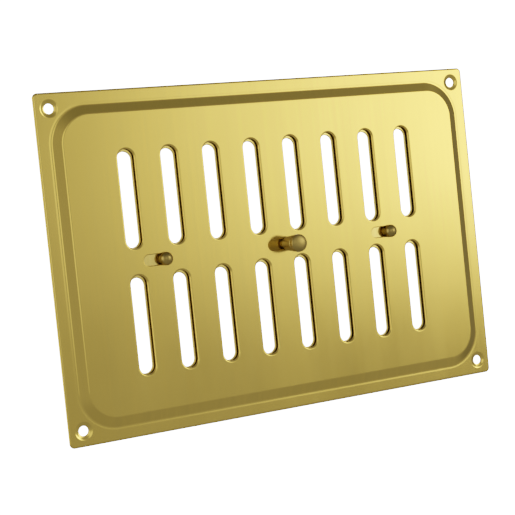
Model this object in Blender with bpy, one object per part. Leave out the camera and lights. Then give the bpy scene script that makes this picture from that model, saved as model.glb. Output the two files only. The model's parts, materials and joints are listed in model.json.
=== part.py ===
"""Adjustable brass air vent: a pressed face plate with a slotted shutter that slides behind it.

Metres. The origin is the centre of the plate in the plane of the wall, +X runs to the right
as one faces the vent, +Z is up, and the front of the vent faces -Y.
"""

import math

import bmesh
import bpy
from mathutils import Vector

MM = 0.001

# Face plate
PLATE_W = 242 * MM
PLATE_H = 165 * MM
PLATE_CORNER_R = 2.5 * MM
SHEET_T = 1.0 * MM
STEP_SIDE_INSET = 6.3 * MM
STEP_TOP_INSET = 6.4 * MM
STEP_BAND = 4.6 * MM
STEP_OUTER_R = 19 * MM
STEP_RISE = 2.0 * MM
STEP_BEND = 0.6 * MM
STEP_BEND_SEGMENTS = 3
CORNER_SEGMENTS = 9

# Air slots: the same columns and rows in the face plate and in the shutter
SLOT_COLUMNS = 8
SLOT_PITCH = 22.3 * MM
SLOT_ARRAY_X = -0.8 * MM
SLOT_ROW_Z = 30.0 * MM
SLOT_W = 8.5 * MM
SLOT_L = 47.4 * MM
SLOT_END_SEGMENTS = 10

# Fixing holes in the flange, dimpled for countersunk screws
HOLE_SPACING_X = 227 * MM
HOLE_SPACING_Z = 150 * MM
HOLE_R = 2.6 * MM
DIMPLE_R = 4.2 * MM
DIMPLE_DEPTH = 0.8 * MM

# Shutter, shown open: it slides towards -X to close
SHUTTER_W = 184 * MM
SHUTTER_H = 120 * MM
SHUTTER_CENTRE_X = 2 * MM
SHUTTER_CORNER_R = 3 * MM
SHUTTER_T = 1.2 * MM
SHUTTER_GAP = 1.1 * MM
SHUTTER_SLOT_W = 7.6 * MM
SHUTTER_SLOT_L = 45.6 * MM
SHUTTER_SLOT_OFFSET = -0.5 * MM
SHUTTER_SLOT_DROP = 0.35 * MM
TRAVEL = 8.4 * MM

# Guide slots and what runs in them
GUIDE_SLOT_H = 5.3 * MM
SHANK_R = 2.3 * MM
RIVET_X = {"left": -64.1 * MM, "right": 64.1 * MM}
KNOB_X = 3.2 * MM
RIVET_HEAD_R = 3.25 * MM
RIVET_HEAD_T = 3.7 * MM
RIVET_DOME_H = 2.5 * MM
KNOB_HEIGHT = 12.7 * MM
KNOB_BASE_R = 3.5 * MM
KNOB_RIM_R = 4.4 * MM
KNOB_RIM_L = 2.6 * MM
KNOB_DOME_H = 1.3 * MM
KNOB_BORE_DEPTH = 6.5 * MM
TAIL_R = 1.5 * MM
TAIL_CLEARANCE = 0.3 * MM
FACE_GAP = 0.1 * MM

# Washers and the screw behind the shutter
WASHER_R = 4.0 * MM
WASHER_T = 0.6 * MM
WAVE_WASHER_R = 3.9 * MM
WAVE_WASHER_T = 0.25 * MM
WAVE_HEIGHT = 0.12 * MM
PEENED_HEAD_R = 2.6 * MM
PEENED_HEAD_T = 0.9 * MM
SCREW_HEAD_R = 2.9 * MM
SCREW_HEAD_T = 1.8 * MM
SCREW_L = 6.0 * MM
DRIVER_SLOT_W = 0.8 * MM
DRIVER_SLOT_DEPTH = 0.9 * MM

ROUND_SEGMENTS = 24

# Depths that follow from the sizes above
FLANGE_FRONT_Y = -SHEET_T
PANEL_FRONT_Y = -(SHEET_T + STEP_RISE)
PANEL_BACK_Y = -STEP_RISE
SHUTTER_FRONT_Y = PANEL_BACK_Y + SHUTTER_GAP
SHUTTER_BACK_Y = SHUTTER_FRONT_Y + SHUTTER_T


def clear_scene():
    for old in list(bpy.data.objects):
        bpy.data.objects.remove(old, do_unlink=True)


def material(name, colour, roughness, metallic):
    """A plain Principled BSDF material."""
    mat = bpy.data.materials.new(name)
    mat.use_nodes = True
    shader = mat.node_tree.nodes["Principled BSDF"]
    shader.inputs["Base Color"].default_value = (*colour, 1.0)
    shader.inputs["Roughness"].default_value = roughness
    shader.inputs["Metallic"].default_value = metallic
    return mat


def empty(name, location):
    """A parent for the pieces of one rigid body."""
    holder = bpy.data.objects.new(name, None)
    holder.location = location
    bpy.context.scene.collection.objects.link(holder)
    return holder


def place(name, mesh, mat, parent, location=(0, 0, 0)):
    """Puts a finished mesh into the scene as one named piece; location is in world space."""
    piece = bpy.data.objects.new(name, mesh)
    mesh.materials.append(mat)
    mesh.shade_smooth()
    mesh.set_sharp_from_angle(angle=math.radians(30))
    bpy.context.scene.collection.objects.link(piece)
    piece.parent = parent
    piece.location = Vector(location) - parent.location
    return piece


def finished_mesh(name, bm):
    """Turns a bmesh into a mesh whose faces all point out."""
    bmesh.ops.recalc_face_normals(bm, faces=bm.faces)
    mesh = bpy.data.meshes.new(name)
    bm.to_mesh(mesh)
    bm.free()
    return mesh


def rounded_outline(half_w, half_h, radius, segments=CORNER_SEGMENTS):
    """Points of a rounded rectangle in the XZ plane, corner arc by corner arc."""
    points = []
    corners = ((1, 1), (-1, 1), (-1, -1), (1, -1))
    for corner, (sign_x, sign_z) in enumerate(corners):
        for step in range(segments + 1):
            angle = math.pi / 2 * (corner + step / segments)
            points.append((
                sign_x * (half_w - radius) + radius * math.cos(angle),
                sign_z * (half_h - radius) + radius * math.sin(angle),
            ))
    return points


def slot_outline(width, length, upright=True, segments=SLOT_END_SEGMENTS):
    """Points of a slot with round ends, centred on the origin of the XZ plane."""
    radius = width / 2
    straight = length / 2 - radius
    points = []
    for end in (0, 1):
        for step in range(segments + 1):
            angle = math.pi * (end + step / segments)
            across = radius * math.cos(angle)
            along = radius * math.sin(angle) + (straight if end == 0 else -straight)
            points.append((across, along) if upright else (along, across))
    return points


def loft(bm, rings, close_ends=True):
    """Joins rings of equal point counts with quads, and caps the first and the last."""
    loops = [[bm.verts.new(point) for point in ring] for ring in rings]
    count = len(loops[0])
    for near, far in zip(loops, loops[1:]):
        for i in range(count):
            j = (i + 1) % count
            bm.faces.new((near[i], near[j], far[j], far[i]))
    if close_ends:
        bm.faces.new(loops[0])
        bm.faces.new(loops[-1])


def prism(bm, outline, y_front, y_back, centre=(0, 0)):
    """A straight block of the given XZ outline."""
    loft(bm, [[(centre[0] + x, y, centre[1] + z) for x, z in outline] for y in (y_front, y_back)])


def turned(name, profile, segments=ROUND_SEGMENTS):
    """A solid turned about the Y axis from (radius, y) points, ending on the axis."""
    bm = bmesh.new()
    (_, first_y), *middle, (_, last_y) = profile
    rings = [[
        bm.verts.new((
            radius * math.cos(math.tau * i / segments),
            y,
            radius * math.sin(math.tau * i / segments),
        ))
        for i in range(segments)
    ] for radius, y in middle]
    for near, far in zip(rings, rings[1:]):
        for i in range(segments):
            j = (i + 1) % segments
            bm.faces.new((near[i], near[j], far[j], far[i]))
    for tip_y, ring in ((first_y, rings[0]), (last_y, rings[-1])):
        tip = bm.verts.new((0, tip_y, 0))
        for i in range(segments):
            bm.faces.new((tip, ring[i], ring[(i + 1) % segments]))
    return finished_mesh(name, bm)


def washer(name, inner_r, outer_r, thickness, wave=0.0, segments=ROUND_SEGMENTS):
    """A flat ring, or a wave washer whose height swings three times round it."""
    bm = bmesh.new()
    sections = []
    for i in range(segments):
        angle = math.tau * i / segments
        lift = wave * math.cos(3 * angle)
        sections.append([
            (radius * math.cos(angle), lift + side * thickness / 2, radius * math.sin(angle))
            for radius, side in ((inner_r, -1), (outer_r, -1), (outer_r, 1), (inner_r, 1))
        ])
    sections.append(sections[0])
    loft(bm, sections, close_ends=False)
    bmesh.ops.remove_doubles(bm, verts=bm.verts, dist=1e-6)
    return finished_mesh(name, bm)


def dome(radius, height, y_base, towards=-1, steps=5):
    """Profile points of a domed end, from its rim to just before its tip."""
    return [
        (radius * math.cos(math.pi / 2 * i / steps),
         y_base + towards * height * math.sin(math.pi / 2 * i / steps))
        for i in range(steps)
    ]


def cut(piece, name, mesh):
    """Takes a hidden cutter out of a piece."""
    cutter = bpy.data.objects.new(name, mesh)
    cutter.hide_render = True
    cutter.display_type = "WIRE"
    bpy.context.scene.collection.objects.link(cutter)
    cutter.parent = piece
    boolean = piece.modifiers.new(name, "BOOLEAN")
    boolean.operation = "DIFFERENCE"
    boolean.solver = "EXACT"
    boolean.object = cutter


def slot_centres(offset_x=0.0, offset_z=0.0):
    """Centres of the air slots, column by column."""
    for column in range(SLOT_COLUMNS):
        x = SLOT_ARRAY_X + (column - (SLOT_COLUMNS - 1) / 2) * SLOT_PITCH + offset_x
        yield x, SLOT_ROW_Z + offset_z
        yield x, -SLOT_ROW_Z + offset_z


def step_profile():
    """The step's front as (inset from its outer edge, y, normal): a straight slope, two bends."""
    bend = [STEP_BEND * i / STEP_BEND_SEGMENTS for i in range(STEP_BEND_SEGMENTS + 1)]
    steepest = STEP_RISE / (STEP_BAND - STEP_BEND)
    for inset in bend + [STEP_BAND - STEP_BEND + along for along in bend]:
        to_end = STEP_BAND - inset
        if inset <= STEP_BEND:
            rise = steepest * inset ** 2 / (2 * STEP_BEND)
        else:
            rise = STEP_RISE - steepest * to_end ** 2 / (2 * STEP_BEND)
        slope = steepest * min(inset, to_end, STEP_BEND) / STEP_BEND
        length = math.hypot(1, slope)
        yield inset, FLANGE_FRONT_Y - rise, slope / length, 1 / length


def step_ring(inset, y):
    """One rounded rectangle of the step band."""
    outline = rounded_outline(
        PLATE_W / 2 - STEP_SIDE_INSET - inset,
        PLATE_H / 2 - STEP_TOP_INSET - inset,
        STEP_OUTER_R - inset,
    )
    return [(x, y, z) for x, z in outline]


def face_plate_mesh():
    """The pressed sheet before it is pierced: panel back, round the edge, to panel front."""
    edge = rounded_outline(PLATE_W / 2, PLATE_H / 2, PLATE_CORNER_R)
    front = [step_ring(inset, y) for inset, y, _, _ in step_profile()]
    back = [
        step_ring(inset + across * SHEET_T, y + through * SHEET_T)
        for inset, y, across, through in step_profile()
    ]
    rings = back[::-1]
    rings.append([(x, 0.0, z) for x, z in edge])
    rings.append([(x, FLANGE_FRONT_Y, z) for x, z in edge])
    rings += front
    bm = bmesh.new()
    loft(bm, rings)
    return finished_mesh("face_plate", bm)


def face_plate_cutter():
    """Air slots, guide slots and fixing holes of the face plate."""
    beyond = 2 * MM
    bm = bmesh.new()
    air_slot = slot_outline(SLOT_W, SLOT_L)
    for centre in slot_centres():
        prism(bm, air_slot, PANEL_FRONT_Y - beyond, PANEL_BACK_Y + beyond, centre)
    guide_slot = slot_outline(GUIDE_SLOT_H, GUIDE_SLOT_H + TRAVEL, upright=False)
    for open_x in (KNOB_X, *RIVET_X.values()):
        centre = (open_x - TRAVEL / 2, 0)
        prism(bm, guide_slot, PANEL_FRONT_Y - beyond, PANEL_BACK_Y + beyond, centre)
    for sign_x in (-1, 1):
        for sign_z in (-1, 1):
            screw_hole(bm, sign_x * HOLE_SPACING_X / 2, sign_z * HOLE_SPACING_Z / 2, beyond)
    return finished_mesh("face_plate_cutter", bm)


def screw_hole(bm, x, z, beyond):
    """A through hole with the shallow cone of a pressed dimple."""
    slope = (DIMPLE_R - HOLE_R) / DIMPLE_DEPTH
    profile = (
        (DIMPLE_R + slope * beyond, FLANGE_FRONT_Y - beyond),
        (HOLE_R, FLANGE_FRONT_Y + DIMPLE_DEPTH),
        (HOLE_R, beyond),
    )
    loft(bm, [[
        (x + radius * math.cos(math.tau * i / ROUND_SEGMENTS),
         y,
         z + radius * math.sin(math.tau * i / ROUND_SEGMENTS))
        for i in range(ROUND_SEGMENTS)
    ] for radius, y in profile])


def make_face_plate(mat, parent):
    plate = place("face_plate", face_plate_mesh(), mat, parent)
    cut(plate, "face_plate_cutter", face_plate_cutter())


def make_shutter(mat, parent):
    """The flat sliding sheet, modelled about its own centre."""
    bm = bmesh.new()
    outline = rounded_outline(SHUTTER_W / 2, SHUTTER_H / 2, SHUTTER_CORNER_R, segments=4)
    prism(bm, outline, -SHUTTER_T / 2, SHUTTER_T / 2)
    centre = (SHUTTER_CENTRE_X, (SHUTTER_FRONT_Y + SHUTTER_BACK_Y) / 2, 0)
    shutter = place("shutter_plate", finished_mesh("shutter_plate", bm), mat, parent, centre)

    bm = bmesh.new()
    air_slot = slot_outline(SHUTTER_SLOT_W, SHUTTER_SLOT_L)
    for slot_centre in slot_centres(SHUTTER_SLOT_OFFSET - SHUTTER_CENTRE_X, -SHUTTER_SLOT_DROP):
        prism(bm, air_slot, -SHUTTER_T, SHUTTER_T, slot_centre)
    tail_hole_r = TAIL_R + TAIL_CLEARANCE
    tail_hole = slot_outline(2 * tail_hole_r, 2 * tail_hole_r + 0.1 * MM, segments=8)
    for x in (KNOB_X, *RIVET_X.values()):
        prism(bm, tail_hole, -SHUTTER_T, SHUTTER_T, (x - SHUTTER_CENTRE_X, 0))
    cut(shutter, "shutter_cutter", finished_mesh("shutter_cutter", bm))


def make_knob(mat, parent):
    """The tapered knob with its shank through the middle guide slot and a blind screw bore."""
    seat_y = PANEL_FRONT_Y - FACE_GAP
    front_y = PANEL_FRONT_Y - KNOB_HEIGHT
    rim_front_y = front_y + KNOB_DOME_H
    shank_end_y = SHUTTER_FRONT_Y - FACE_GAP
    bore_r = TAIL_R + TAIL_CLEARANCE
    bore_end_y = shank_end_y - KNOB_BORE_DEPTH
    profile = [
        (0, front_y),
        *dome(KNOB_RIM_R, KNOB_DOME_H, rim_front_y)[::-1],
        (KNOB_RIM_R, rim_front_y + KNOB_RIM_L),
        (KNOB_BASE_R, seat_y),
        (SHANK_R, seat_y),
        (SHANK_R, shank_end_y),
        (bore_r, shank_end_y),
        (bore_r, bore_end_y),
        (0, bore_end_y),
    ]
    place("control_knob", turned("control_knob", profile), mat, parent, (KNOB_X, 0, 0))


def make_knob_fixing(mat, parent):
    """The washer and slotted screw that clamp the knob to the shutter from behind."""
    bore_r = TAIL_R + TAIL_CLEARANCE
    washer_y = SHUTTER_BACK_Y + FACE_GAP + WASHER_T / 2
    ring = washer("knob_washer", bore_r, WASHER_R, WASHER_T)
    place("knob_washer", ring, mat, parent, (KNOB_X, washer_y, 0))

    under_head_y = washer_y + WASHER_T / 2 + FACE_GAP
    head_back_y = under_head_y + SCREW_HEAD_T
    dome_h = 0.8 * MM
    profile = [
        (0, under_head_y - SCREW_L),
        (TAIL_R, under_head_y - SCREW_L),
        (TAIL_R, under_head_y),
        (SCREW_HEAD_R, under_head_y),
        *dome(SCREW_HEAD_R, dome_h, head_back_y - dome_h, towards=1, steps=3),
        (0, head_back_y),
    ]
    screw = place("knob_screw", turned("knob_screw", profile), mat, parent, (KNOB_X, 0, 0))
    bm = bmesh.new()
    outline = [
        (sign_x * 2 * SCREW_HEAD_R, sign_z * DRIVER_SLOT_W / 2)
        for sign_x, sign_z in ((1, 1), (-1, 1), (-1, -1), (1, -1))
    ]
    prism(bm, outline, head_back_y - DRIVER_SLOT_DEPTH, head_back_y + SCREW_HEAD_T)
    cut(screw, "driver_slot", finished_mesh("driver_slot", bm))


def make_guide(side, rivet_mat, washer_mat, parent):
    """One guide rivet, with a wave washer and a plain washer behind the shutter."""
    x = RIVET_X[side]
    seat_y = PANEL_FRONT_Y - FACE_GAP
    front_y = seat_y - RIVET_HEAD_T
    shank_end_y = SHUTTER_FRONT_Y - FACE_GAP
    half_wave = WAVE_HEIGHT + WAVE_WASHER_T / 2
    wave_y = SHUTTER_BACK_Y + FACE_GAP + half_wave
    washer_y = wave_y + half_wave + FACE_GAP + WASHER_T / 2
    peen_y = washer_y + WASHER_T / 2 + FACE_GAP
    profile = [
        (0, front_y),
        *dome(RIVET_HEAD_R, RIVET_DOME_H, front_y + RIVET_DOME_H)[::-1],
        (RIVET_HEAD_R, seat_y),
        (SHANK_R, seat_y),
        (SHANK_R, shank_end_y),
        (TAIL_R, shank_end_y),
        (TAIL_R, peen_y),
        *dome(PEENED_HEAD_R, PEENED_HEAD_T, peen_y, towards=1, steps=3),
        (0, peen_y + PEENED_HEAD_T),
    ]
    name = f"guide_rivet_{side}"
    place(name, turned(name, profile), rivet_mat, parent, (x, 0, 0))

    name = f"friction_washer_{side}"
    ring = washer(name, TAIL_R + TAIL_CLEARANCE, WAVE_WASHER_R, WAVE_WASHER_T, WAVE_HEIGHT)
    place(name, ring, washer_mat, parent, (x, wave_y, 0))

    name = f"rear_washer_{side}"
    ring = washer(name, TAIL_R + TAIL_CLEARANCE, WASHER_R, WASHER_T)
    place(name, ring, washer_mat, parent, (x, washer_y, 0))


def main():
    clear_scene()
    brass = material("polished_brass", (0.62, 0.50, 0.15), 0.22, 1.0)
    turned_brass = material("turned_brass", (0.45, 0.34, 0.12), 0.30, 1.0)
    steel = material("zinc_plated_steel", (0.55, 0.55, 0.53), 0.35, 1.0)
    face = empty("face", (0, 0, 0))
    shutter = empty("shutter", (0, (SHUTTER_FRONT_Y + SHUTTER_BACK_Y) / 2, 0))
    make_face_plate(brass, face)
    make_shutter(brass, shutter)
    make_knob(turned_brass, shutter)
    make_knob_fixing(steel, shutter)
    for side in RIVET_X:
        make_guide(side, turned_brass, steel, shutter)


main()
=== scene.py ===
"""Looks of the adjustable brass air vent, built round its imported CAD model.

The plate faces -Y with +X to the right and +Z up, as in the CAD. Lengths are in metres.
"""

import json
import math

import bmesh
import bpy
from mathutils import Euler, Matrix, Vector


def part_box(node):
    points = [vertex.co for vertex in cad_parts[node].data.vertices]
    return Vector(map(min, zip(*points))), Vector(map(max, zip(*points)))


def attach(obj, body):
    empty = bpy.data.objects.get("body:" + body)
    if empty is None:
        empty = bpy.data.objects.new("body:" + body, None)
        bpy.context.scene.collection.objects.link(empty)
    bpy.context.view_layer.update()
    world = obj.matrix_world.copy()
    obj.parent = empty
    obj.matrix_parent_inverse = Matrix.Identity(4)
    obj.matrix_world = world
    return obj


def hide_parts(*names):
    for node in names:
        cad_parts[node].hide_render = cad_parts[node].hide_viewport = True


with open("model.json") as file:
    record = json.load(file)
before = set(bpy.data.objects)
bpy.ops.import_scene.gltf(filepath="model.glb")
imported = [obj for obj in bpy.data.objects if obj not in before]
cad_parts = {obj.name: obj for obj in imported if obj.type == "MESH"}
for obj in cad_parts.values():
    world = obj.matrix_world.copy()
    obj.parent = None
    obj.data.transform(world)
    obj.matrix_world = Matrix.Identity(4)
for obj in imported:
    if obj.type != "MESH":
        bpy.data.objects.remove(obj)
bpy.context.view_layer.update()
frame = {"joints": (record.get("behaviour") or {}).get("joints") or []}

MM = 0.001
FACE = "face"
SHUTTER = "shutter"

# The face plate's outline comes from the frame, its pressed and pierced shapes from these.
PLATE_LOW, PLATE_HIGH = (Vector(corner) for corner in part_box("face_plate"))
PLATE_W = PLATE_HIGH.x - PLATE_LOW.x
PLATE_H = PLATE_HIGH.z - PLATE_LOW.z
PANEL_FRONT_Y = PLATE_LOW.y
SHEET_T = 1.0 * MM
STEP_RISE = -PANEL_FRONT_Y - SHEET_T
PLATE_CORNER_R = 2.5 * MM
STEP_SIDE_INSET = 6.5 * MM
STEP_TOP_INSET = 6.3 * MM
STEP_BAND = 5.5 * MM
STEP_OUTER_R = 19 * MM
STEP_BEND = 1.0 * MM
STEP_BEND_SEGMENTS = 12
CORNER_SEGMENTS = 28
EDGE_ROLL = 1.2 * MM
EDGE_ROLL_DEPTH = 0.65 * MM
GROOVE_W = 1.1 * MM
GROOVE_DEPTH = 0.03 * MM
GROOVE_SEGMENTS = 8

SLOT_COLUMNS = 8
SLOT_PITCH = 22.3 * MM
SLOT_ARRAY_X = -0.8 * MM
SLOT_ROW_Z = 30.0 * MM
SLOT_W = 8.5 * MM
SLOT_L = 47.4 * MM
SLOT_ROLL = 0.8 * MM
SLOT_ROLL_DEPTH = 0.55 * MM
SLOT_END_SEGMENTS = 28

HOLE_SPACING_X = 227 * MM
HOLE_SPACING_Z = 150 * MM
HOLE_R = 2.35 * MM
HOLE_LIP = 0.1 * MM
DIMPLE_R = 4.5 * MM
DIMPLE_DEPTH = 0.6 * MM

TRAVEL = frame["joints"][0]["range_m"][1]
GUIDE_SLOT_H = 5.3 * MM
GUIDE_ROLL = 0.4 * MM
GUIDE_ROLL_DEPTH = 0.5 * MM

# The shutter, whose slots sit a little off those of the face plate, and what joins it to the front.
SHUTTER_LOW, SHUTTER_HIGH = (Vector(corner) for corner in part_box("shutter_plate"))
SHUTTER_CORNER_R = 3 * MM
SHUTTER_EDGE_ROLL = 0.3 * MM
SHUTTER_EDGE_ROLL_DEPTH = 0.2 * MM
SHUTTER_SLOT_W = 7.6 * MM
SHUTTER_SLOT_L = 45.6 * MM
SHUTTER_SLOT_OFFSET = -0.5 * MM
SHUTTER_SLOT_DROP = 0.35 * MM
SHUTTER_SLOT_ROLL = 0.3 * MM
SHUTTER_SLOT_ROLL_DEPTH = 0.12 * MM
TAIL_HOLE_R = 1.8 * MM
SHANK_R = 2.3 * MM
TAIL_R = 1.5 * MM
SEAT_GAP = 0.1 * MM
WAVE_LIFT = 0.12 * MM

ROUND_SEGMENTS = 96
CIRCLE_SEGMENTS = 64


def middle(node):
    low, high = (Vector(corner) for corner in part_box(node))
    return (low + high) / 2


KNOB_X = middle("control_knob").x
RIVET_X = {side: middle(f"guide_rivet_{side}").x for side in ("left", "right")}


# ---------------------------------------------------------------- outlines

def rounded_outline(half_w, half_h, radius):
    """Points of a rounded rectangle in the XZ plane, corner arc by corner arc."""
    points = []
    for corner, (sign_x, sign_z) in enumerate(((1, 1), (-1, 1), (-1, -1), (1, -1))):
        for step in range(CORNER_SEGMENTS + 1):
            angle = math.pi / 2 * (corner + step / CORNER_SEGMENTS)
            points.append((
                sign_x * (half_w - radius) + radius * math.cos(angle),
                sign_z * (half_h - radius) + radius * math.sin(angle),
            ))
    return points


def slot_outline(centre, width, length, upright):
    """Points of a slot with round ends."""
    radius = width / 2
    straight = length / 2 - radius
    points = []
    for end, side in ((0, 1), (1, -1)):
        for step in range(SLOT_END_SEGMENTS + 1):
            angle = math.pi * (end + step / SLOT_END_SEGMENTS)
            across = radius * math.cos(angle)
            along = radius * math.sin(angle) + side * straight
            x, z = (across, along) if upright else (along, -across)
            points.append((centre[0] + x, centre[1] + z))
    return points


def circle_outline(centre, radius):
    return [
        (centre[0] + radius * math.cos(math.tau * i / CIRCLE_SEGMENTS),
         centre[1] + radius * math.sin(math.tau * i / CIRCLE_SEGMENTS))
        for i in range(CIRCLE_SEGMENTS)
    ]


# ---------------------------------------------------------------- mesh helpers

def add_loop(bm, outline, y):
    return [bm.verts.new((x, y, z)) for x, z in outline]


def bridge(bm, near, far):
    """Joins two loops of equal count with quads."""
    for i in range(len(near)):
        j = (i + 1) % len(near)
        bm.faces.new((near[i], near[j], far[j], far[i]))


def bridge_all(bm, loops):
    """Joins each loop to the one after it."""
    for near, far in zip(loops, loops[1:]):
        bridge(bm, near, far)


def fill_flat(bm, loops):
    """Fills the flat region between an outer loop and the holes in it, and marks it as flat."""
    flat = bm.faces.layers.int.get("flat") or bm.faces.layers.int.new("flat")
    edges = []
    for loop in loops:
        for i, vert in enumerate(loop):
            after = loop[(i + 1) % len(loop)]
            edges.append(bm.edges.get((vert, after)) or bm.edges.new((vert, after)))
    filled = bmesh.ops.triangle_fill(bm, use_beauty=True, use_dissolve=False, edges=edges)
    for item in filled["geom"]:
        if isinstance(item, bmesh.types.BMFace):
            item[flat] = 1


def flatten_fills(mesh):
    """Gives every corner on a flat fill the fill's own normal, so that no shade spills onto it."""
    same_side = 0.7
    marks = mesh.attributes.get("flat")
    if marks is None:
        return
    at_vertex = {}
    for face, mark in zip(mesh.polygons, marks.data):
        if mark.value:
            for index in face.vertices:
                at_vertex[index] = face.normal.copy()
    normals = [corner.vector.copy() for corner in mesh.corner_normals]
    for loop in mesh.loops:
        flat = at_vertex.get(loop.vertex_index)
        if flat is not None and normals[loop.index].dot(flat) > same_side:
            normals[loop.index] = flat
    mesh.normals_split_custom_set(normals)


def new_piece(name, bm, mat, sharp_degrees=40):
    """Finishes a bmesh as a smooth-shaded object with its faces pointing out."""
    bmesh.ops.recalc_face_normals(bm, faces=bm.faces)
    mesh = bpy.data.meshes.new(name)
    bm.to_mesh(mesh)
    bm.free()
    mesh.shade_smooth()
    mesh.set_sharp_from_angle(angle=math.radians(sharp_degrees))
    flatten_fills(mesh)
    mesh.materials.append(mat)
    piece = bpy.data.objects.new(name, mesh)
    bpy.context.scene.collection.objects.link(piece)
    return piece


def turned(bm, profile, centre_x):
    """Turns (radius, y) points about the Y axis through centre_x; ends on the axis close it."""
    on_axis = 1e-7
    loops = []
    for radius, y in profile:
        if radius < on_axis:
            loops.append(bm.verts.new((centre_x, y, 0)))
        else:
            loops.append([
                bm.verts.new((
                    centre_x + radius * math.cos(math.tau * i / ROUND_SEGMENTS),
                    y,
                    radius * math.sin(math.tau * i / ROUND_SEGMENTS),
                ))
                for i in range(ROUND_SEGMENTS)
            ])
    for near, far in zip(loops, loops[1:]):
        if isinstance(near, list) and isinstance(far, list):
            bridge(bm, near, far)
            continue
        tip, ring = (near, far) if isinstance(far, list) else (far, near)
        for i in range(ROUND_SEGMENTS):
            bm.faces.new((tip, ring[i], ring[(i + 1) % ROUND_SEGMENTS]))


def rounded_profile(points, radius):
    """Rounds each inner corner of a (radius, y) profile with a curve that starts radius from it.

    A short side is left at least a tenth of its length straight."""
    steps = 5
    share = 0.45
    result = [points[0]]
    for triple in zip(points, points[1:], points[2:]):
        before, corner, after = (Vector(point) for point in triple)
        arm_a = before - corner
        arm_b = after - corner
        reach = min(radius, arm_a.length * share, arm_b.length * share)
        start = corner + arm_a.normalized() * reach
        end = corner + arm_b.normalized() * reach
        for i in range(steps + 1):
            t = i / steps
            point = start * (1 - t) ** 2 + corner * 2 * t * (1 - t) + end * t ** 2
            result.append(tuple(point))
    result.append(points[-1])
    return result


def dome(radius, height, y_base, towards=-1):
    """Profile points of a domed end from its rim up to, and with, its tip."""
    steps = 16
    return [
        (radius * math.cos(math.pi / 2 * i / steps),
         y_base + towards * height * math.sin(math.pi / 2 * i / steps))
        for i in range(steps)
    ] + [(0.0, y_base + towards * height)]


# ---------------------------------------------------------------- the two sheets

def slot_centres(offset_x=0.0, offset_z=0.0):
    """The middles of the air slots, column by column."""
    for column in range(SLOT_COLUMNS):
        x = SLOT_ARRAY_X + (column - (SLOT_COLUMNS - 1) / 2) * SLOT_PITCH + offset_x
        yield x, SLOT_ROW_Z + offset_z
        yield x, -SLOT_ROW_Z + offset_z


def roll_profile(reach, depth):
    """A pierced edge's rolled-over lip: (distance in from its outer edge, depth below the face)."""
    steps = 9
    for i in range(steps + 1):
        angle = math.pi / 2 * i / steps
        yield reach * math.sin(angle), depth * (1 - math.cos(angle))


def pierced_slot(bm, centre, size, upright, face_y, back_y, roll, roll_depth):
    """One slot through a sheet: rolled lip, cut wall and the loop left in the back face.

    Returns the loops that bound it in the front and the back face."""
    width, length = size

    def loop(grow, y):
        outline = slot_outline(centre, width + 2 * grow, length + 2 * grow, upright)
        return add_loop(bm, outline, y)

    loops = [loop(roll - inward, face_y + deep) for inward, deep in roll_profile(roll, roll_depth)]
    ease = 0.05 * MM
    wall_end = back_y - ease
    loops.append(loop(0.0, (loops[-1][0].co.y + wall_end) / 2))
    loops.append(loop(0.0, wall_end))
    loops.append(loop(ease, back_y))
    bridge_all(bm, loops)
    return loops[0], loops[-1]


def dimpled_hole(bm, centre, face_y, back_y):
    """A screw hole in a pressed dimple. Returns its loops in the front and the back face."""
    reach = DIMPLE_R - HOLE_R - HOLE_LIP / 2
    steps = 14
    roundness = 0.55
    loops = []
    for i in range(steps + 1):
        t = i / steps
        curved = 0.5 - 0.5 * math.cos(math.pi * t)
        deep = DIMPLE_DEPTH * (roundness * curved + (1 - roundness) * t)
        loops.append(add_loop(bm, circle_outline(centre, DIMPLE_R - reach * t), face_y + deep))
    for y in (face_y + DIMPLE_DEPTH + HOLE_LIP, back_y):
        loops.append(add_loop(bm, circle_outline(centre, HOLE_R), y))
    bridge_all(bm, loops)
    return loops[0], loops[-1]


def step_ring(inset):
    """The outline this far in from the step's outer edge."""
    return rounded_outline(
        PLATE_W / 2 - STEP_SIDE_INSET - inset,
        PLATE_H / 2 - STEP_TOP_INSET - inset,
        STEP_OUTER_R - inset,
    )


def step_rows():
    """The front of the step: a faint groove, then a slope between two bends.

    Each row is its inset, its y and its normal's parts across and through the sheet."""
    for i in range(GROOVE_SEGMENTS):
        turn = math.pi * i / GROOVE_SEGMENTS
        dip = GROOVE_DEPTH * (1 - math.cos(turn)) / 2
        tilt = GROOVE_DEPTH * math.pi / (2 * GROOVE_W) * math.sin(turn)
        length = math.hypot(1, tilt)
        yield GROOVE_W * (i / GROOVE_SEGMENTS - 1), dip - SHEET_T, -tilt / length, 1 / length
    rise_all = STEP_RISE + GROOVE_DEPTH
    bend = [STEP_BEND * i / STEP_BEND_SEGMENTS for i in range(STEP_BEND_SEGMENTS + 1)]
    steepest = rise_all / (STEP_BAND - STEP_BEND)
    for inset in bend + [STEP_BAND - STEP_BEND + along for along in bend]:
        to_end = STEP_BAND - inset
        if inset <= STEP_BEND:
            rise = steepest * inset ** 2 / (2 * STEP_BEND)
        else:
            rise = rise_all - steepest * to_end ** 2 / (2 * STEP_BEND)
        slope = steepest * min(inset, to_end, STEP_BEND) / STEP_BEND
        length = math.hypot(1, slope)
        yield inset, GROOVE_DEPTH - SHEET_T - rise, slope / length, 1 / length


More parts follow.
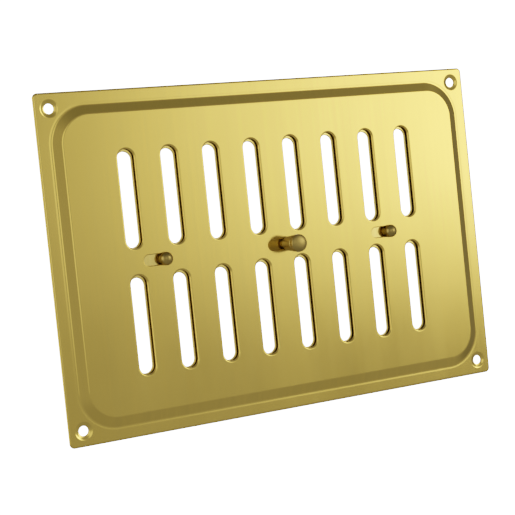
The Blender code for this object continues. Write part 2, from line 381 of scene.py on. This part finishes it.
def outer_edge(bm, half_w, half_h, corner_r, y_front, y_back, roll, roll_depth):
    """The outer edge of a sheet, rolled over in front and eased behind.

    Returns its loops in the front and the back face."""
    loops = []
    steps = 7
    ease = 0.1 * MM
    for side, y_face, reach, depth in ((1, y_front, roll, roll_depth), (-1, y_back, ease, ease)):
        arc = []
        for i in range(steps + 1):
            angle = math.pi / 2 * i / steps
            inset = reach * (1 - math.sin(angle))
            y = y_face + side * depth * (1 - math.cos(angle))
            outline = rounded_outline(half_w - inset, half_h - inset, corner_r - inset)
            arc.append(add_loop(bm, outline, y))
        loops += arc if side == 1 else arc[::-1]
    bridge_all(bm, loops)
    return loops[0], loops[-1]


def make_face_plate(mat):
    """The pressed front: flange, step and raised panel, with every hole and slot through it."""
    bm = bmesh.new()
    edge_front, edge_back = outer_edge(
        bm, PLATE_W / 2, PLATE_H / 2, PLATE_CORNER_R, -SHEET_T, 0.0, EDGE_ROLL, EDGE_ROLL_DEPTH)
    front_rings = [add_loop(bm, step_ring(inset), y) for inset, y, _, _ in step_rows()]
    back_rings = [
        add_loop(bm, step_ring(inset + across * SHEET_T), min(y + through * SHEET_T, 0.0))
        for inset, y, across, through in step_rows() if inset >= 0
    ]
    bridge_all(bm, front_rings)
    bridge_all(bm, back_rings)

    flange_front = [edge_front, front_rings[0]]
    flange_back = [edge_back, back_rings[0]]
    for sign_x in (-1, 1):
        for sign_z in (-1, 1):
            centre = (sign_x * HOLE_SPACING_X / 2, sign_z * HOLE_SPACING_Z / 2)
            front, back = dimpled_hole(bm, centre, -SHEET_T, 0.0)
            flange_front.append(front)
            flange_back.append(back)

    panel_front = [front_rings[-1]]
    panel_back = [back_rings[-1]]
    panel_back_y = PANEL_FRONT_Y + SHEET_T
    for centre in slot_centres():
        front, back = pierced_slot(
            bm, centre, (SLOT_W, SLOT_L), True, PANEL_FRONT_Y, panel_back_y,
            SLOT_ROLL, SLOT_ROLL_DEPTH)
        panel_front.append(front)
        panel_back.append(back)
    for open_x in (KNOB_X, *RIVET_X.values()):
        front, back = pierced_slot(
            bm, (open_x - TRAVEL / 2, 0), (GUIDE_SLOT_H, GUIDE_SLOT_H + TRAVEL), False,
            PANEL_FRONT_Y, panel_back_y, GUIDE_ROLL, GUIDE_ROLL_DEPTH)
        panel_front.append(front)
        panel_back.append(back)
    for loops in (flange_front, flange_back, panel_front, panel_back):
        fill_flat(bm, loops)
    return new_piece("face_plate_pressed", bm, mat)


def make_shutter(mat):
    """The flat sliding sheet behind the panel, with the air slots and three tail holes."""
    bm = bmesh.new()
    front_y, back_y = SHUTTER_LOW.y, SHUTTER_HIGH.y
    half_w = (SHUTTER_HIGH.x - SHUTTER_LOW.x) / 2
    half_h = (SHUTTER_HIGH.z - SHUTTER_LOW.z) / 2
    centre_x = (SHUTTER_HIGH.x + SHUTTER_LOW.x) / 2
    edge_front, edge_back = outer_edge(
        bm, half_w, half_h, SHUTTER_CORNER_R, front_y, back_y, SHUTTER_EDGE_ROLL, SHUTTER_EDGE_ROLL_DEPTH)
    for vert in bm.verts:
        vert.co.x += centre_x
    fronts = [edge_front]
    backs = [edge_back]
    for centre in slot_centres(SHUTTER_SLOT_OFFSET, -SHUTTER_SLOT_DROP):
        front, back = pierced_slot(
            bm, centre, (SHUTTER_SLOT_W, SHUTTER_SLOT_L), True, front_y, back_y,
            SHUTTER_SLOT_ROLL, SHUTTER_SLOT_ROLL_DEPTH)
        fronts.append(front)
        backs.append(back)
    for x in (KNOB_X, *RIVET_X.values()):
        front, back = (add_loop(bm, circle_outline((x, 0), TAIL_HOLE_R), y) for y in (front_y, back_y))
        bridge(bm, front, back)
        fronts.append(front)
        backs.append(back)
    fill_flat(bm, fronts)
    fill_flat(bm, backs)
    return new_piece("shutter_sheet", bm, mat)


# ---------------------------------------------------------------- turned pieces

def make_knob(mat):
    """The knob: a gently domed end, a rim with a turned groove, a taper and a bored shank."""
    low, high = (Vector(corner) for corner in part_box("control_knob"))
    rim_r = (high.x - low.x) / 2
    dome_h = 1.3 * MM
    rim_l = 2.6 * MM
    base_r = 3.5 * MM
    seat_y = PANEL_FRONT_Y - SEAT_GAP
    rim_front_y = low.y + dome_h
    rim_back_y = rim_front_y + rim_l
    bore_end_y = high.y - 6.5 * MM
    outside = [
        (rim_r - 0.02 * MM, rim_front_y + 0.25 * MM),
        (rim_r, rim_front_y + 0.6 * MM),
        (rim_r, rim_back_y - 1.1 * MM),
        (rim_r - 0.35 * MM, rim_back_y - 0.85 * MM),
        (rim_r - 0.35 * MM, rim_back_y - 0.45 * MM),
        (rim_r - 0.12 * MM, rim_back_y - 0.2 * MM),
        (rim_r - 0.16 * MM, rim_back_y + 0.4 * MM),
        (base_r + 0.02 * MM, seat_y - 0.25 * MM),
        (base_r - 0.1 * MM, seat_y),
        (SHANK_R, seat_y),
        (SHANK_R, high.y),
        (TAIL_HOLE_R, high.y),
        (TAIL_HOLE_R, bore_end_y),
        (0.0, bore_end_y),
    ]
    front = dome(rim_r - 0.06 * MM, dome_h, rim_front_y)[::-1]
    bm = bmesh.new()
    turned(bm, front + rounded_profile(outside, 0.2 * MM), KNOB_X)
    return new_piece("knob_turned", bm, mat, 50)


def make_rivet(side, mat):
    """A guide rivet: domed head, shank in its guide slot, and a tail formed over behind."""
    low, high = (Vector(corner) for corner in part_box(f"guide_rivet_{side}"))
    head_r = (high.x - low.x) / 2
    dome_h = 2.5 * MM
    seat_y = PANEL_FRONT_Y - SEAT_GAP
    shank_end_y = SHUTTER_LOW.y - SEAT_GAP
    peen_h = 0.9 * MM
    peen_r = 2.6 * MM
    peen_y = high.y - peen_h
    stem = [
        (head_r, low.y + dome_h),
        (head_r, seat_y),
        (SHANK_R, seat_y),
        (SHANK_R, shank_end_y),
        (TAIL_R, shank_end_y),
        (TAIL_R, peen_y),
        (peen_r, peen_y),
        (peen_r, peen_y + 0.15 * MM),
    ]
    front = dome(head_r, dome_h, low.y + dome_h)[::-1]
    tail = dome(peen_r, peen_h - 0.2 * MM, peen_y + 0.2 * MM, towards=1)
    bm = bmesh.new()
    turned(bm, front[:-1] + rounded_profile(stem, 0.15 * MM) + tail, RIVET_X[side])
    return new_piece(f"rivet_{side}_turned", bm, mat, 50)


def make_ring(node, mat, wave=0.0):
    """A washer with rounded edges, as wide and thick as its node; a wave bends it three times."""
    low, high = (Vector(corner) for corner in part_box(node))
    centre = (low + high) / 2
    outer_r = (high.x - low.x) / 2
    half_t = (high.y - low.y) / 2 - wave
    round_r = min(0.12 * MM, half_t * 0.6)
    corners = ((TAIL_HOLE_R, -half_t), (outer_r, -half_t), (outer_r, half_t), (TAIL_HOLE_R, half_t))
    section = []
    for index, (radius, y) in enumerate(corners):
        inward_r = 1 if index in (0, 3) else -1
        inward_y = 1 if index in (0, 1) else -1
        pivot = (radius + inward_r * round_r, y + inward_y * round_r)
        start = (math.pi, 1.5 * math.pi, 0.0, 0.5 * math.pi)[index]
        steps = 3
        for i in range(steps + 1):
            angle = start + math.pi / 2 * i / steps
            section.append((pivot[0] + round_r * math.cos(angle), pivot[1] + round_r * math.sin(angle)))
    bm = bmesh.new()
    loops = []
    for i in range(ROUND_SEGMENTS):
        angle = math.tau * i / ROUND_SEGMENTS
        lift = wave * math.cos(3 * angle)
        loops.append([
            bm.verts.new((
                centre.x + radius * math.cos(angle),
                centre.y + lift + y,
                centre.z + radius * math.sin(angle),
            ))
            for radius, y in section
        ])
    bridge_all(bm, loops + loops[:1])
    return new_piece(f"{node}_ring", bm, mat, 60)


def make_screw(mat):
    """The screw that holds the knob from behind, with its driver slot cut by a Boolean."""
    low, high = (Vector(corner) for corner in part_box("knob_screw"))
    head_r = (high.x - low.x) / 2
    head_t = 1.8 * MM
    under_head_y = high.y - head_t
    dome_h = 0.8 * MM
    stem = [
        (0.0, low.y),
        (TAIL_R * 0.8, low.y),
        (TAIL_R, low.y + 0.3 * MM),
        (TAIL_R, under_head_y),
        (head_r, under_head_y),
        (head_r, high.y - dome_h),
    ]
    bm = bmesh.new()
    head = dome(head_r, dome_h, high.y - dome_h, towards=1)
    turned(bm, rounded_profile(stem, 0.12 * MM) + head, KNOB_X)
    screw = new_piece("knob_screw_turned", bm, mat, 50)

    slot_w, slot_depth = 0.8 * MM, 0.9 * MM
    bm = bmesh.new()
    signs = ((1, 1), (-1, 1), (-1, -1), (1, -1))
    corners = [(sign_x * 2 * head_r + KNOB_X, sign_z * slot_w / 2) for sign_x, sign_z in signs]
    loops = [add_loop(bm, corners, y) for y in (high.y - slot_depth, high.y + head_t)]
    bridge(bm, *loops)
    for loop in loops:
        bm.faces.new(loop)
    cutter = new_piece("driver_slot_cutter", bm, mat)
    boolean = screw.modifiers.new("driver_slot", "BOOLEAN")
    boolean.object = cutter
    boolean.solver = "EXACT"
    bpy.context.view_layer.update()
    evaluated = screw.evaluated_get(bpy.context.evaluated_depsgraph_get())
    cut_mesh = bpy.data.meshes.new_from_object(evaluated)
    screw.modifiers.clear()
    screw.data = cut_mesh
    bpy.data.objects.remove(cutter, do_unlink=True)
    return screw


# ---------------------------------------------------------------- materials

class NodeBuilder:
    """Small helpers for building a node tree."""

    def __init__(self, tree):
        self.tree = tree

    def link(self, source, target):
        self.tree.links.new(source, target)

    def maths(self, operation, first, second):
        """A Math node on two values, each a number or a socket."""
        node = self.tree.nodes.new("ShaderNodeMath")
        node.operation = operation
        for socket, value in zip(node.inputs, (first, second)):
            if isinstance(value, (int, float)):
                socket.default_value = value
            else:
                self.link(value, socket)
        return node.outputs["Value"]

    def map_range(self, value, source, target, smooth=False):
        """Maps a value from the (start, end) of source to that of target."""
        node = self.tree.nodes.new("ShaderNodeMapRange")
        if smooth:
            node.interpolation_type = "SMOOTHSTEP"
        node.inputs["From Min"].default_value, node.inputs["From Max"].default_value = source
        node.inputs["To Min"].default_value, node.inputs["To Max"].default_value = target
        self.link(value, node.inputs["Value"])
        return node.outputs["Result"]


class Nodes(NodeBuilder):
    """A node material built round its Principled BSDF."""

    def __init__(self, name):
        self.mat = bpy.data.materials.new(name)
        self.mat.use_nodes = True
        super().__init__(self.mat.node_tree)
        self.shader = self.tree.nodes["Principled BSDF"]
        self.coords = self.tree.nodes.new("ShaderNodeTexCoord").outputs["Object"]

    def noise(self, scale, detail=4.0, roughness=0.55, stretch=(1, 1, 1), turn=(0, 0, 0)):
        """Noise on the object's own coordinates, with its grain stretched and turned."""
        mapping = self.tree.nodes.new("ShaderNodeMapping")
        mapping.inputs["Scale"].default_value = stretch
        mapping.inputs["Rotation"].default_value = turn
        noise = self.tree.nodes.new("ShaderNodeTexNoise")
        noise.inputs["Scale"].default_value = scale
        noise.inputs["Detail"].default_value = detail
        noise.inputs["Roughness"].default_value = roughness
        self.link(self.coords, mapping.inputs["Vector"])
        self.link(mapping.outputs["Vector"], noise.inputs["Vector"])
        return noise.outputs["Fac"]

    def ranged(self, noise, low, high):
        """Maps the middle part of a noise into a range."""
        return self.map_range(noise, (0.3, 0.7), (low, high))

    def mix(self, factor, first, second):
        """Mixes two colours, each an RGB tuple or a socket."""
        node = self.tree.nodes.new("ShaderNodeMix")
        node.data_type = "RGBA"
        self.link(factor, node.inputs["Factor"])
        for name, value in (("A", first), ("B", second)):
            socket = [s for s in node.inputs if s.name == name and s.type == "RGBA"][0]
            if isinstance(value, tuple):
                socket.default_value = (*value, 1.0)
            else:
                self.link(value, socket)
        return [s for s in node.outputs if s.type == "RGBA"][0]

    def bump(self, height, strength, distance):
        """Bumps the shader's surface."""
        node = self.tree.nodes.new("ShaderNodeBump")
        node.inputs["Strength"].default_value = strength
        node.inputs["Distance"].default_value = distance
        self.link(height, node.inputs["Height"])
        self.link(node.outputs["Normal"], self.shader.inputs["Normal"])


def polished_brass(name, tones):
    """Rolled sheet brass between two tones, polished and lacquered: soft reflections, faint streaks."""
    nodes = Nodes(name)
    shader = nodes.shader
    shader.inputs["Metallic"].default_value = 1.0
    shader.inputs["Coat Weight"].default_value = 0.2
    shader.inputs["Coat Roughness"].default_value = 0.10
    tint = nodes.noise(11.0, 3.0)
    smudge = nodes.noise(26.0, 5.0, 0.6, stretch=(1, 1, 0.3), turn=(0, 0.7, 0))
    streak = nodes.noise(160.0, 3.0, 0.5, stretch=(3.0, 1, 0.03))
    base = nodes.mix(nodes.ranged(tint, 0.0, 1.0), *tones)
    streak_tone = (0.80, 0.56, 0.105)
    base = nodes.mix(nodes.ranged(streak, 0.0, 0.5), base, streak_tone)
    nodes.link(base, shader.inputs["Base Color"])
    rough = nodes.ranged(smudge, 0.11, 0.18)
    rough = nodes.maths("ADD", rough, nodes.ranged(streak, -0.015, 0.015))
    nodes.link(rough, shader.inputs["Roughness"])
    waviness = nodes.noise(22.0, 2.0)
    nodes.bump(waviness, 0.25, 0.0001)
    return nodes.mat


def turned_brass():
    """Turned brass bar: fine rings round the axis, duller and browner than the sheet."""
    nodes = Nodes("turned_brass")
    shader = nodes.shader
    shader.inputs["Metallic"].default_value = 1.0
    tarnish = nodes.noise(260.0, 4.0)
    rings = nodes.noise(900.0, 2.0, stretch=(0.05, 1.0, 0.05))
    base = nodes.mix(nodes.ranged(tarnish, 0.0, 1.0), (0.35, 0.238, 0.054), (0.45, 0.310, 0.072))
    nodes.link(base, shader.inputs["Base Color"])
    rough = nodes.maths("ADD", nodes.ranged(tarnish, 0.30, 0.40), nodes.ranged(rings, -0.04, 0.04))
    nodes.link(rough, shader.inputs["Roughness"])
    nodes.bump(rings, 0.25, 0.00002)
    return nodes.mat


def zinc_plate():
    """Bright zinc plate on small steel hardware."""
    nodes = Nodes("zinc_plate")
    shader = nodes.shader
    shader.inputs["Metallic"].default_value = 1.0
    grain = nodes.noise(700.0, 5.0)
    base = nodes.mix(nodes.ranged(grain, 0.0, 1.0), (0.50, 0.51, 0.52), (0.68, 0.68, 0.66))
    nodes.link(base, shader.inputs["Base Color"])
    nodes.link(nodes.ranged(grain, 0.28, 0.45), shader.inputs["Roughness"])
    nodes.bump(grain, 0.2, 0.00002)
    return nodes.mat


def pale_floor():
    """A plain matt white floor."""
    nodes = Nodes("pale_floor")
    mottle = nodes.noise(3.0, 2.0)
    base = nodes.mix(nodes.ranged(mottle, 0.0, 1.0), (0.80, 0.80, 0.79), (0.83, 0.83, 0.82))
    nodes.link(base, nodes.shader.inputs["Base Color"])
    nodes.shader.inputs["Roughness"].default_value = 0.7
    return nodes.mat


# ---------------------------------------------------------------- stage, light, camera

def make_floor():
    """A square floor well below the vent, which the brass doesn't mirror."""
    half = 0.8
    floor_z = -0.5
    corners = ((half, half), (-half, half), (-half, -half), (half, -half))
    bm = bmesh.new()
    bm.faces.new([bm.verts.new((x, y, 0)) for x, y in corners])
    floor = new_piece("floor", bm, pale_floor())
    floor.location = (0, 0, floor_z)
    floor.visible_glossy = False


class Studio(NodeBuilder):
    """The light room round the vent, as a world whose brightness depends on direction only."""

    def __init__(self):
        world = bpy.data.worlds.new("studio")
        world.use_nodes = True
        super().__init__(world.node_tree)
        self.room = self.tree.nodes["Background"]
        self.output = self.tree.nodes["World Output"]
        towards = self.tree.nodes.new("ShaderNodeTexCoord").outputs["Generated"]
        split = self.tree.nodes.new("ShaderNodeSeparateXYZ")
        self.link(towards, split.inputs["Vector"])
        x, self.y, z = split.outputs
        self.azimuth = self.maths("ARCTAN2", x, self.maths("MULTIPLY", self.y, -1.0))
        self.elevation = self.maths("ARCSINE", z, 0.0)
        bpy.context.scene.world = world

    def edge(self, angle, start, end, low=0.0, high=1.0):
        """A soft edge between two directions, in degrees, from one brightness to another."""
        span = (math.radians(start), math.radians(end))
        return self.map_range(angle, span, (low, high), smooth=True)

    def soft_box(self, radiance, azimuth, elevation):
        """A soft-edged light; each span is (edge start, full from, full to, edge end) in degrees."""
        strength = radiance
        for angle, (dark_from, full_from, full_to, dark_to) in (
                (self.azimuth, azimuth), (self.elevation, elevation)):
            opening = self.edge(angle, dark_from, full_from)
            closing = self.edge(angle, full_to, dark_to, 1.0, 0.0)
            strength = self.maths("MULTIPLY", strength, self.maths("MULTIPLY", opening, closing))
        return strength


def make_studio():
    """A bright soft box to the front right, weaker ones in front and left, a pale wall behind."""
    studio = Studio()
    level = studio.map_range(studio.y, (0.1, 0.6), (0.38, 0.85), smooth=True)
    ceiling = studio.edge(studio.elevation, 20, 50, 1.0, 0.5)
    floor = studio.edge(studio.elevation, -35, -12, 0.8, 1.0)
    side = studio.edge(studio.azimuth, 60, 80, 1.0, 0.5)
    for shade in (ceiling, floor, side):
        level = studio.maths("MULTIPLY", level, shade)
    main_box = studio.soft_box(6.0, (14.5, 58, 43, 57), (-7.4, 1.8, 12, 26))
    front_box = studio.soft_box(0.8, (-24, -14, 0, 10), (-10, 0, 14, 26))
    left_box = studio.soft_box(1.8, (-100, -85, -62, -50), (-20, -5, 20, 35))
    for box in (main_box, front_box, left_box):
        level = studio.maths("ADD", level, box)
    studio.link(level, studio.room.inputs["Strength"])
    studio.room.inputs["Color"].default_value = (1.0, 1.0, 1.0, 1.0)

    backdrop = studio.tree.nodes.new("ShaderNodeBackground")
    backdrop.inputs["Strength"].default_value = 6.0
    seen = studio.tree.nodes.new("ShaderNodeLightPath")
    choose = studio.tree.nodes.new("ShaderNodeMixShader")
    studio.link(seen.outputs["Is Camera Ray"], choose.inputs["Fac"])
    studio.link(studio.room.outputs["Background"], choose.inputs[1])
    studio.link(backdrop.outputs["Background"], choose.inputs[2])
    studio.link(choose.outputs["Shader"], studio.output.inputs["Surface"])


def soft_light(name, direction, distance, size, radiance, glossy=True):
    """A square soft light that faces the vent from an (azimuth, elevation) in degrees.

    Without glossy it lights only what isn't mirror-like, and the brass doesn't reflect it."""
    data = bpy.data.lights.new(name, "AREA")
    data.size = size
    data.energy = radiance * math.pi * size ** 2
    light = bpy.data.objects.new(name, data)
    azimuth, elevation = (math.radians(angle) for angle in direction)
    towards = Vector((
        math.sin(azimuth) * math.cos(elevation),
        -math.cos(azimuth) * math.cos(elevation),
        math.sin(elevation),
    ))
    light.location = towards * distance
    light.rotation_euler = towards.to_track_quat("Z", "Y").to_euler()
    light.visible_camera = False
    light.visible_glossy = glossy
    bpy.context.scene.collection.objects.link(light)


def make_lights():
    make_studio()
    soft_light("rear_fill", (160, 35), 1.6, 0.9, 0.8)
    soft_light("floor_lamp", (0, 90), 1.3, 1.6, 3.0, glossy=False)


def make_camera():
    """The camera looks at the vent from its left and a little above its middle, tilted slightly."""
    data = bpy.data.cameras.new("camera")
    data.sensor_width = 36.0
    data.lens = 97.0
    data.shift_y = -0.0245
    camera = bpy.data.objects.new("camera", data)
    camera.location = (-0.3334, -0.6093, 0.0252)
    forward = Vector((0.4658, 0.8842, -0.0351)).normalized()
    roll = math.radians(-5.93)
    level = forward.to_track_quat("-Z", "Y")
    camera.rotation_euler = (level @ Euler((0, 0, roll)).to_quaternion()).to_euler()
    bpy.context.scene.collection.objects.link(camera)
    bpy.context.scene.camera = camera


def set_tone():
    """A photographic tone curve: bright tones roll off softly to white."""
    gain = 1.26
    top = 5.0
    view = bpy.context.scene.view_settings
    view.view_transform = "Standard"
    view.use_curve_mapping = True
    curves = view.curve_mapping
    curves.white_level = (top, top, top)
    combined = curves.curves[3]
    for level in (0.08, 0.2, 0.35, 0.55, 0.8, 1.1, 1.5, 2.0, 2.8, 3.8):
        combined.points.new(level / top, min(1.0, gain * level / (1 + level)))
    curves.update()


def main():
    sheet = polished_brass("polished_brass", ((0.865, 0.590, 0.095), (0.935, 0.640, 0.114)))
    inner_sheet = polished_brass("pale_brass", ((0.93, 0.680, 0.150), (0.97, 0.720, 0.175)))
    bar = turned_brass()
    zinc = zinc_plate()
    pieces = [
        (make_face_plate(sheet), FACE, "face_plate", "polished_brass"),
        (make_shutter(inner_sheet), SHUTTER, "shutter_plate", "polished_brass"),
        (make_knob(bar), SHUTTER, "control_knob", "turned_brass"),
        (make_screw(zinc), SHUTTER, "knob_screw", "zinc_plated_steel"),
        (make_ring("knob_washer", zinc), SHUTTER, "knob_washer", "zinc_plated_steel"),
    ]
    for side in RIVET_X:
        friction = make_ring(f"friction_washer_{side}", zinc, WAVE_LIFT)
        rear = make_ring(f"rear_washer_{side}", zinc)
        pieces += [
            (make_rivet(side, bar), SHUTTER, f"guide_rivet_{side}", "turned_brass"),
            (friction, SHUTTER, f"friction_washer_{side}", "zinc_plated_steel"),
            (rear, SHUTTER, f"rear_washer_{side}", "zinc_plated_steel"),
        ]
    for piece, body, node, slot in pieces:
        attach(piece, body)
        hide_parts(node)
    make_floor()
    make_lights()
    make_camera()
    set_tone()


main()
